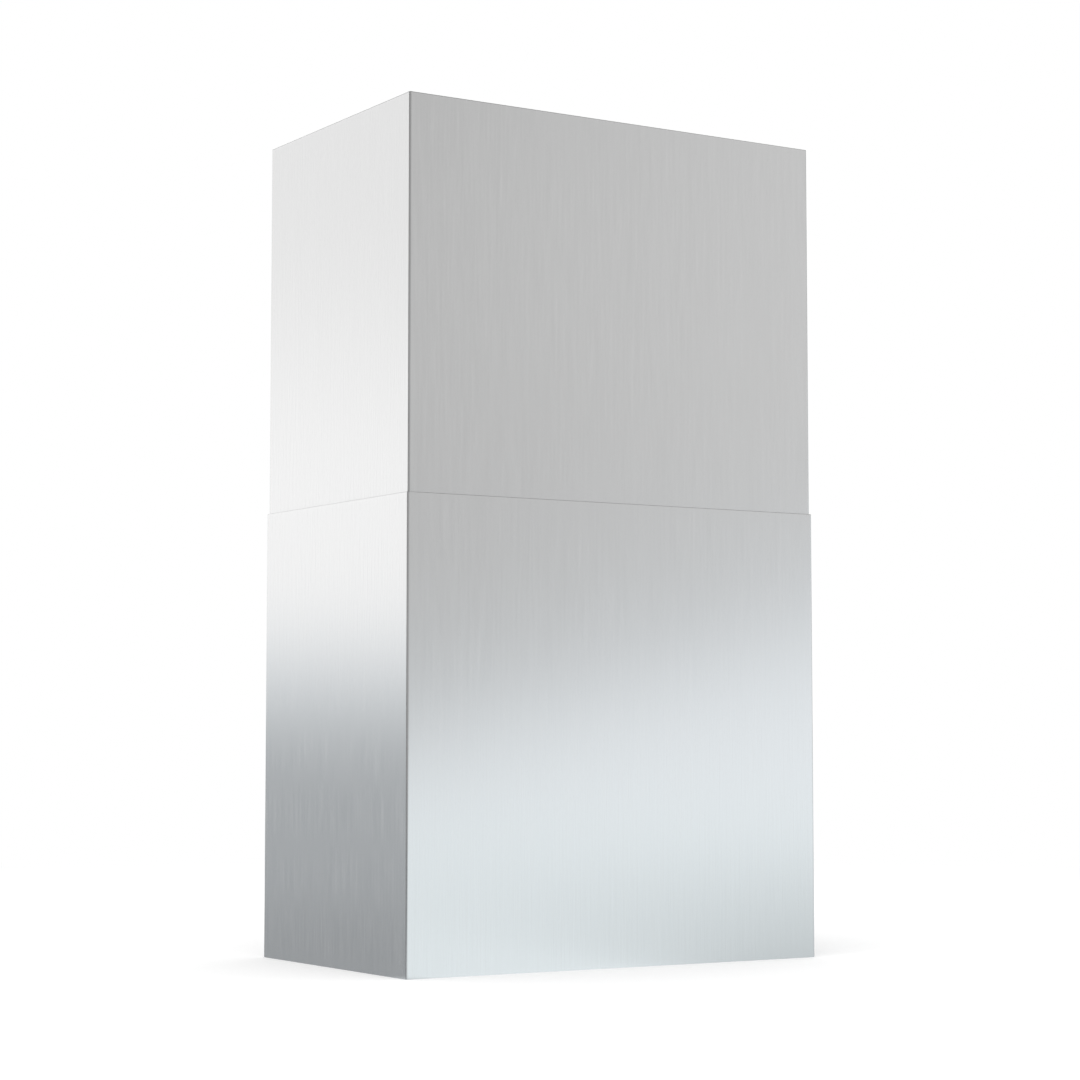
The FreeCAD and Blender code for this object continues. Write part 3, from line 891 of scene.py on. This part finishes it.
def glide(node):
    """Pillow on the wall: height = thickness less a small wavy nap, times the two quarter rounds."""
    low, high = (np.array(corner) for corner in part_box(node))
    size = high - low
    depth_axis = int(np.argmin(size))
    side_axis = 1 - depth_axis
    inward = -np.sign(low[depth_axis] + high[depth_axis])
    wall = low[depth_axis] if inward > 0 else high[depth_axis]
    u, v = felt_stations(size[side_axis]), felt_stations(size[2])
    rim = np.outer(quarter_round(v), quarter_round(u))
    nap = (np.sin(u * NAP_WAVES) * np.cos(v * NAP_WAVES)[:, None] + 1) / 2
    rise = rim * (size[depth_axis] - FELT_NAP * nap)
    face = np.empty((len(v), len(u), 3))
    face[..., side_axis] = low[side_axis] + u
    face[..., 2] = low[2] + v[:, None]
    face[..., depth_axis] = wall + inward * rise
    back = face.copy()
    back[..., depth_axis] = wall
    turn = 1 if (inward > 0) == (depth_axis == 0) else -1
    whole = np.concatenate([face[:, ::turn], back[::-1, ::turn]], axis=0)
    strip = grid_object(node.replace("glide", "felt"), whole)
    close_border(strip.data)
    return strip


print("the nap is", FELT_NAP / MM, "mm deep")

# %% [markdown]
# Six strips line the top edge of the lower sleeve. Each could be placed by hand, but its packed box
# already says where it is, and its thinnest side says which face of the sheet it is stuck to.

# %% Build the strips
for node in sorted(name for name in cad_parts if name.endswith("_glide")):
    strip = glide(node)
    strip.data.materials.append(FELT)
    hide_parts(node)
    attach(strip, "lower")

# %% [markdown]
# ## The studio
#
# A mirror-like sheet shows the room more than itself. One white room would light it well but leave it
# flat, so the room is split: what the camera sees and what the steel reflects are different things, as
# when a photographer sets up cards and black flags beyond the edge of the picture. The helpers make discs
# and materials that glow.

# %% Studio helpers
DISC_RINGS = 24
DISC_SPOKES = 96


def disc(name, reach, level):
    """Flat disc: the radius grows with the square of the first parameter, the angle with the second."""
    radius = reach * np.linspace(0.0, 1.0, DISC_RINGS + 1)[:, None] ** 2
    angle = np.linspace(0.0, 2 * math.pi, DISC_SPOKES + 1)
    flat = np.broadcast_arrays(radius * np.cos(angle), radius * np.sin(angle), level)
    thing = grid_object(name, np.stack(flat, axis=-1))
    close_border(thing.data)
    return thing


def studio_material(name):
    """Material with an empty tree, whose light needs no sampling; gives it and a signal on its tree."""
    material = bpy.data.materials.new(name)
    material.use_nodes = True
    material.node_tree.nodes.clear()
    material.cycles.emission_sampling = "NONE"
    return material, Signal(material.node_tree)


def emission(start, colour):
    """Light of a colour, which may be brighter than 1."""
    return start.node("ShaderNodeEmission", inputs={"Color": colour})


def surface(start, shader):
    """End the tree with a shader as its surface."""
    start.node("ShaderNodeOutputMaterial", inputs={"Surface": shader})


print("a disc has", DISC_RINGS * DISC_SPOKES, "cells")

# %% [markdown]
# The cover stands on white without an edge. In a real studio paper is bent up behind the object, but the
# bend darkens. Here the floor is matt and pale and keeps the shadow; a small glow that only the camera
# sees lifts it to white, and far away it turns into plain white.

# %% Floor
FLOOR_REACH = 9.0
FLOOR_FADE = (0.7, 1.8)
FLOOR_COLOUR = grey(0.86)
FLOOR_LIFT = grey(0.22)


def pale_floor():
    """Matt floor, lifted to white for the camera, that turns into plain white far from the object."""
    material, start = studio_material("pale_floor")
    place = start.node("ShaderNodeTexCoord", output="Object")
    away = start.node("ShaderNodeVectorMath", {"operation": "LENGTH"}, {0: place}, output="Value")
    matt = start.node("ShaderNodeBsdfDiffuse", inputs={"Color": FLOOR_COLOUR})
    seen = start.node("ShaderNodeLightPath", output="Is Camera Ray")
    lift = emission(start, seen.blend(grey(0.0), FLOOR_LIFT))
    lifted = start.node("ShaderNodeAddShader", inputs={0: matt, 1: lift})
    layers = {0: away.smooth(*FLOOR_FADE), 1: lifted, 2: emission(start, grey(1.0))}
    surface(start, start.node("ShaderNodeMixShader", inputs=layers))
    return material


floor = disc("floor", FLOOR_REACH, 0.0)
floor.data.materials.append(pale_floor())
floor.visible_glossy = False

# %% [markdown]
# The reflectors decide how the steel reads. Lamps could do it, but each would show as a spot; a wall that
# glows by bearing and height gives the slow gradients of a studio. It has zones by bearing: one for each
# face that is seen, and darker ones between. A broad black flag on the left shows only in the round fold
# between the two faces and draws the corner as a fine dark line; a grey one on the right does so for the
# far corner, and the wall behind the camera is a little darker than the room.

# %% Bearings on the wall
WALL_RADIUS = 5.0
ROOM_LEVEL = 0.85
# degrees: bearing of the middle, half angle of the full zone and of its faded rim; then its drop in level
SOFT_BOX = {"bearing": -152.0, "inner": 21.0, "outer": 29.0}
FRONT_WALL = {"bearing": 33.0, "inner": 28.0, "outer": 58.0}
BLACK_FLAG = {"bearing": -114.0, "inner": 14.0, "outer": 26.0, "drop": 0.62}
GREY_FLAG = {"bearing": 90.0, "inner": 32.0, "outer": 66.0, "drop": 0.3}
CAMERA_WALL = {"bearing": -40.0, "inner": 40.0, "outer": 72.0, "drop": 0.2}


def split_place(start):
    """The three Object coordinates as signals."""
    place = start.node("ShaderNodeTexCoord", output="Object")
    parts = start.node("ShaderNodeSeparateXYZ", inputs={0: place}).socket.node.outputs
    return [Signal(start.tree, part) for part in parts]


def bearing_of(x, y):
    """Degrees from straight ahead of the front, growing to the right."""
    return x.math("ARCTAN2", x, y * -1.0) * math.degrees(1.0)


def zone(x, y, bearing, inner, outer, drop=1.0):
    """The drop within the inner angle of a bearing, falling to 0 at the outer angle."""
    ahead = x * math.sin(math.radians(bearing)) - y * math.cos(math.radians(bearing))
    limits = [WALL_RADIUS * math.cos(math.radians(angle)) for angle in (outer, inner)]
    return ahead.smooth(*limits) * drop


print("the wall stands", WALL_RADIUS, "m away")

# %% [markdown]
# The left side shows what stands behind it on the left: a bright soft box above a dark skirting. The
# front shows what stands in front on the right: a grey wall that gets lighter to the right, above a
# bright strip. Each could be a painted card, but a formula of bearing and height makes every border as
# soft as it has to be.

# %% Light of the soft box and of the grey wall
BOX_LEVEL = 1.38
BOX_FADE = 0.18
BOX_FADE_HEIGHTS = (0.8, 1.7)
SKIRTING_LEVEL = 0.56
SKIRTING_HEIGHTS = (0.585, 0.055)
GREY_LEVEL = 0.634
GREY_RISE = 0.26
GREY_RISE_BEARINGS = (14.0, 48.0)
GREY_DROP = 0.035
GREY_DROP_HEIGHTS = (1.3, 0.7)
STRIP_LEVEL = 1.27
STRIP_BLUR = (0.09, -0.09)


def soft_box_light(z):
    """Bright and a little weaker towards the top, above a dark skirting."""
    skirting = z.smooth(*SKIRTING_HEIGHTS)
    bright = BOX_LEVEL - z.smooth(*BOX_FADE_HEIGHTS) * BOX_FADE
    return bright * (1 - skirting) + skirting * SKIRTING_LEVEL


def front_light(bearing, z, above_strip):
    """Grey wall, lighter to the right and a little darker low down, above a bright strip."""
    strip = above_strip.smooth(*STRIP_BLUR)
    lighter = bearing.smooth(*GREY_RISE_BEARINGS) * GREY_RISE
    grey_wall = GREY_LEVEL + lighter - z.smooth(*GREY_DROP_HEIGHTS) * GREY_DROP
    return grey_wall * (1 - strip) + strip * STRIP_LEVEL


print("soft box", BOX_LEVEL, "skirting", SKIRTING_LEVEL, "strip", STRIP_LEVEL)

# %% [markdown]
# Separate cards would leave gaps that show in the steel, so one cylinder carries all zones: the light of
# each is weighed by its mask and added up. Low down the light is a little cooler, and towards the top it
# fades.

# %% Reflector wall
STRIP_HEIGHT = 0.25
STRIP_BEARING = 29.0
STRIP_SLOPE = 0.024
UPPER_DROP = 0.93
UPPER_HEIGHTS = (2.0, 3.1)
COOL = (0.955, 1.003, 1.04)
COOL_ABOVE_STRIP = (0.4, -0.1)
COOL_SKIRTING = (0.6, 0.25)
WALL_HEIGHT = 4.0
WALL_ROWS = 8


def wall_glow():
    """Light of the wall by bearing and height; the upper edge of the bright strip rises with the bearing."""
    material, start = studio_material("wall_glow")
    x, y, z = split_place(start)
    bearing = bearing_of(x, y)
    above_strip = z - ((bearing - STRIP_BEARING) * STRIP_SLOPE + STRIP_HEIGHT)
    behind = zone(x, y, **SOFT_BOX)
    ahead = zone(x, y, **FRONT_WALL)
    plain = ROOM_LEVEL - zone(x, y, **BLACK_FLAG) - zone(x, y, **GREY_FLAG) - zone(x, y, **CAMERA_WALL)
    box = soft_box_light(z) * behind
    front = front_light(bearing, z, above_strip) * ahead
    shown = plain * (1 - behind) * (1 - ahead) + box + front
    level = shown * (1 - z.smooth(*UPPER_HEIGHTS) * UPPER_DROP)
    cool = above_strip.smooth(*COOL_ABOVE_STRIP) * ahead + z.smooth(*COOL_SKIRTING) * behind
    surface(start, emission(start, level.scale(cool.blend(grey(1.0), grey(1.0, COOL)))))
    return material


def reflector_wall():
    """Upright cylinder round the object: bearing by height, facing inwards."""
    angle = np.linspace(2 * math.pi, 0.0, DISC_SPOKES + 1)
    height = np.linspace(0.0, WALL_HEIGHT, WALL_ROWS + 1)[:, None]
    ring = np.broadcast_arrays(WALL_RADIUS * np.cos(angle), WALL_RADIUS * np.sin(angle), height)
    thing = grid_object("reflector_wall", np.stack(ring, axis=-1))
    close_border(thing.data)
    return thing


def only_reflected(thing, material):
    """Give a piece its material and let only reflections see it."""
    thing.data.materials.append(material)
    thing.visible_camera = False
    thing.visible_diffuse = False
    thing.visible_shadow = False


only_reflected(reflector_wall(), wall_glow())

# %% [markdown]
# The lower third of the steel reflects the floor. The white floor of the picture would wash it out, so
# reflections see another one: bright before the front, dark beside the left side. A dim ceiling closes
# the room, and draws a fine line along the eased top edges.

# %% Reflector floor and ceiling
FLOOR_SPLIT = (-0.05, 0.05)
CORNER_REACH = 0.4
CORNER_DROP = 0.5
FRONT_LEVEL = 1.17
FRONT_GAIN = 0.08
FRONT_GAIN_REACH = (1.0, 3.0)
RIGHT_DROP = 0.33
RIGHT_DROP_BEARINGS = (-10.0, 55.0)
RIGHT_DROP_TURN = 14.0
DARK_LEVEL = 0.46
DARK_GAIN = 0.09
DARK_GAIN_REACH = (0.2, 1.8)
COOL_FLOOR = (0.948, 1.026, 1.055)
CEILING_LEVEL = 0.24


def floor_glow():
    """Light of the floor as reflections see it: bright before the front, dark beside the left side.

    The two meet on the level line through the near corner, where neither face can see the other's half. The
    floor between the corner and the camera shows in the fold only and is dim. The bright half gets darker to
    the right, and further off this starts more to the right.
    """
    material, start = studio_material("floor_glow")
    x, y, _ = split_place(start)
    place = start.node("ShaderNodeTexCoord", output="Object")
    away = start.node("ShaderNodeVectorMath", {"operation": "LENGTH"}, {0: place}, output="Value")
    corner_x, corner_y = CAD_BOX[0][0], CAD_BOX[0][1]
    ahead = ((x - corner_x) - (y - corner_y)).smooth(*FLOOR_SPLIT)
    before_corner = x.smooth(corner_x, corner_x - CORNER_REACH) * y.smooth(corner_y, corner_y - CORNER_REACH)
    to_right = (bearing_of(x, y) - away * RIGHT_DROP_TURN).smooth(*RIGHT_DROP_BEARINGS)
    front = FRONT_LEVEL + away.smooth(*FRONT_GAIN_REACH) * FRONT_GAIN - to_right * RIGHT_DROP
    dark = DARK_LEVEL + away.smooth(*DARK_GAIN_REACH) * DARK_GAIN
    level = (dark * (1 - ahead) + front * ahead) * (1 - before_corner * CORNER_DROP)
    surface(start, emission(start, level.scale(ahead.blend(grey(1.0, COOL), grey(1.0, COOL_FLOOR)))))
    return material


def ceiling_glow():
    """Dim even light overhead."""
    material, start = studio_material("ceiling_glow")
    surface(start, emission(start, grey(CEILING_LEVEL)))
    return material


only_reflected(disc("reflector_floor", WALL_RADIUS, 0.0), floor_glow())
only_reflected(disc("reflector_ceiling", WALL_RADIUS, WALL_HEIGHT), ceiling_glow())

# %% [markdown]
# ## World and lamp
#
# A sky picture could light the scene, but a plain white world is as soft as a studio. It stays at a level
# where a colour renders about as it is written. What the camera and reflections see of it is full white.

# %% World
WORLD_LIGHT = grey(0.95)

world = bpy.data.worlds.new("studio")
bpy.context.scene.world = world
world.use_nodes = True
world.node_tree.nodes.clear()
sky = Signal(world.node_tree)
rays = ("Is Camera Ray", "Is Glossy Ray", "Is Transmission Ray")
shown = sum(sky.node("ShaderNodeLightPath", output=ray) for ray in rays)
white = shown.smooth(0.0, 1.0).blend(WORLD_LIGHT, grey(1.0))
background = sky.node("ShaderNodeBackground", inputs={"Color": white})
sky.node("ShaderNodeOutputWorld", inputs={"Surface": background})
print("world light", WORLD_LIGHT)

# %% [markdown]
# Light from everywhere leaves the cover floating. A sun would ground it with a hard shadow; a large soft
# lamp on the left in front gives the shadow a direction and keeps its edge soft.

# %% Lamp
LAMP_PLACE = (-0.6, -0.9, 2.6)
LAMP_TURN = (math.radians(20), math.radians(-14), 0.0)
LAMP_SIZE = 1.6
LAMP_POWER = 14.0

lamp_data = bpy.data.lights.new("soft_lamp", "AREA")
lamp_data.size = LAMP_SIZE
lamp_data.energy = LAMP_POWER
lamp = bpy.data.objects.new("soft_lamp", lamp_data)
lamp.location = LAMP_PLACE
lamp.rotation_euler = LAMP_TURN
lamp.visible_glossy = False
bpy.context.scene.collection.objects.link(lamp)
print("lamp", LAMP_POWER, "W")

# %% [markdown]
# ## Close the lesson
#
# The view transform shows colours as they are written; the default one would pull the white of the floor down
# to grey.

# %% View transform
bpy.context.scene.view_settings.view_transform = "Standard"
